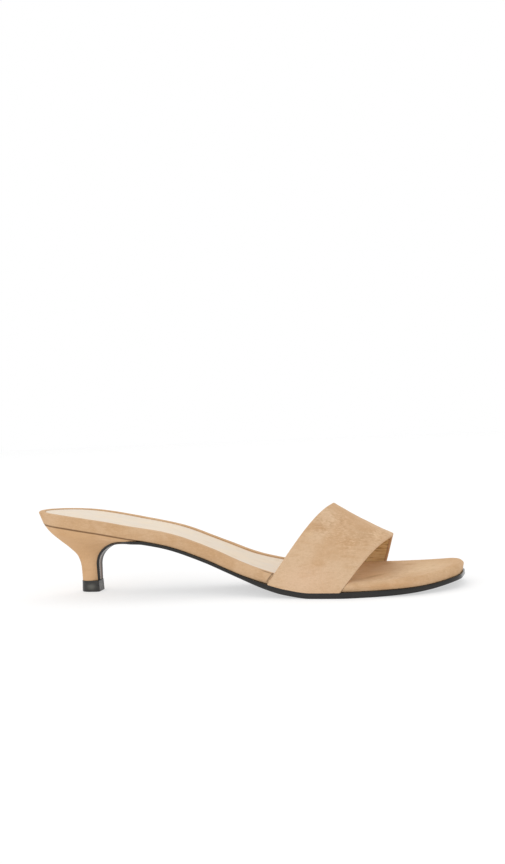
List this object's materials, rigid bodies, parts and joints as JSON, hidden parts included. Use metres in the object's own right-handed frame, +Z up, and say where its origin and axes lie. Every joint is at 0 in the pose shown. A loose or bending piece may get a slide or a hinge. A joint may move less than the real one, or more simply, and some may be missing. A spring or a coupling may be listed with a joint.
{
  "type": "mule",
  "caption": "Open-toe kitten-heel mule with one wide suede strap over a suede-wrapped footbed with a leather sock.",
  "frame": {"origin": "on the floor, under the centre of the shoe's bounding box", "axes": "+X towards the toe, +Y towards the wearer's left, which is the inner side of this right shoe, +Z up"},
  "size_m": [0.2504, 0.08, 0.0491],
  "materials": {
    "suede": "tan suede with a short, soft nap",
    "sock_leather": "cream leather, smooth, low sheen",
    "sole": "black, polished, painted edge",
    "lift_rubber": "black, smooth, satin"
  },
  "bodies": {
    "root": {"outsole": "sole", "footbed": "suede", "upper": "suede", "sock": "sock_leather", "heel": "suede", "top_lift": "lift_rubber"}
  },
  "joints": []
}
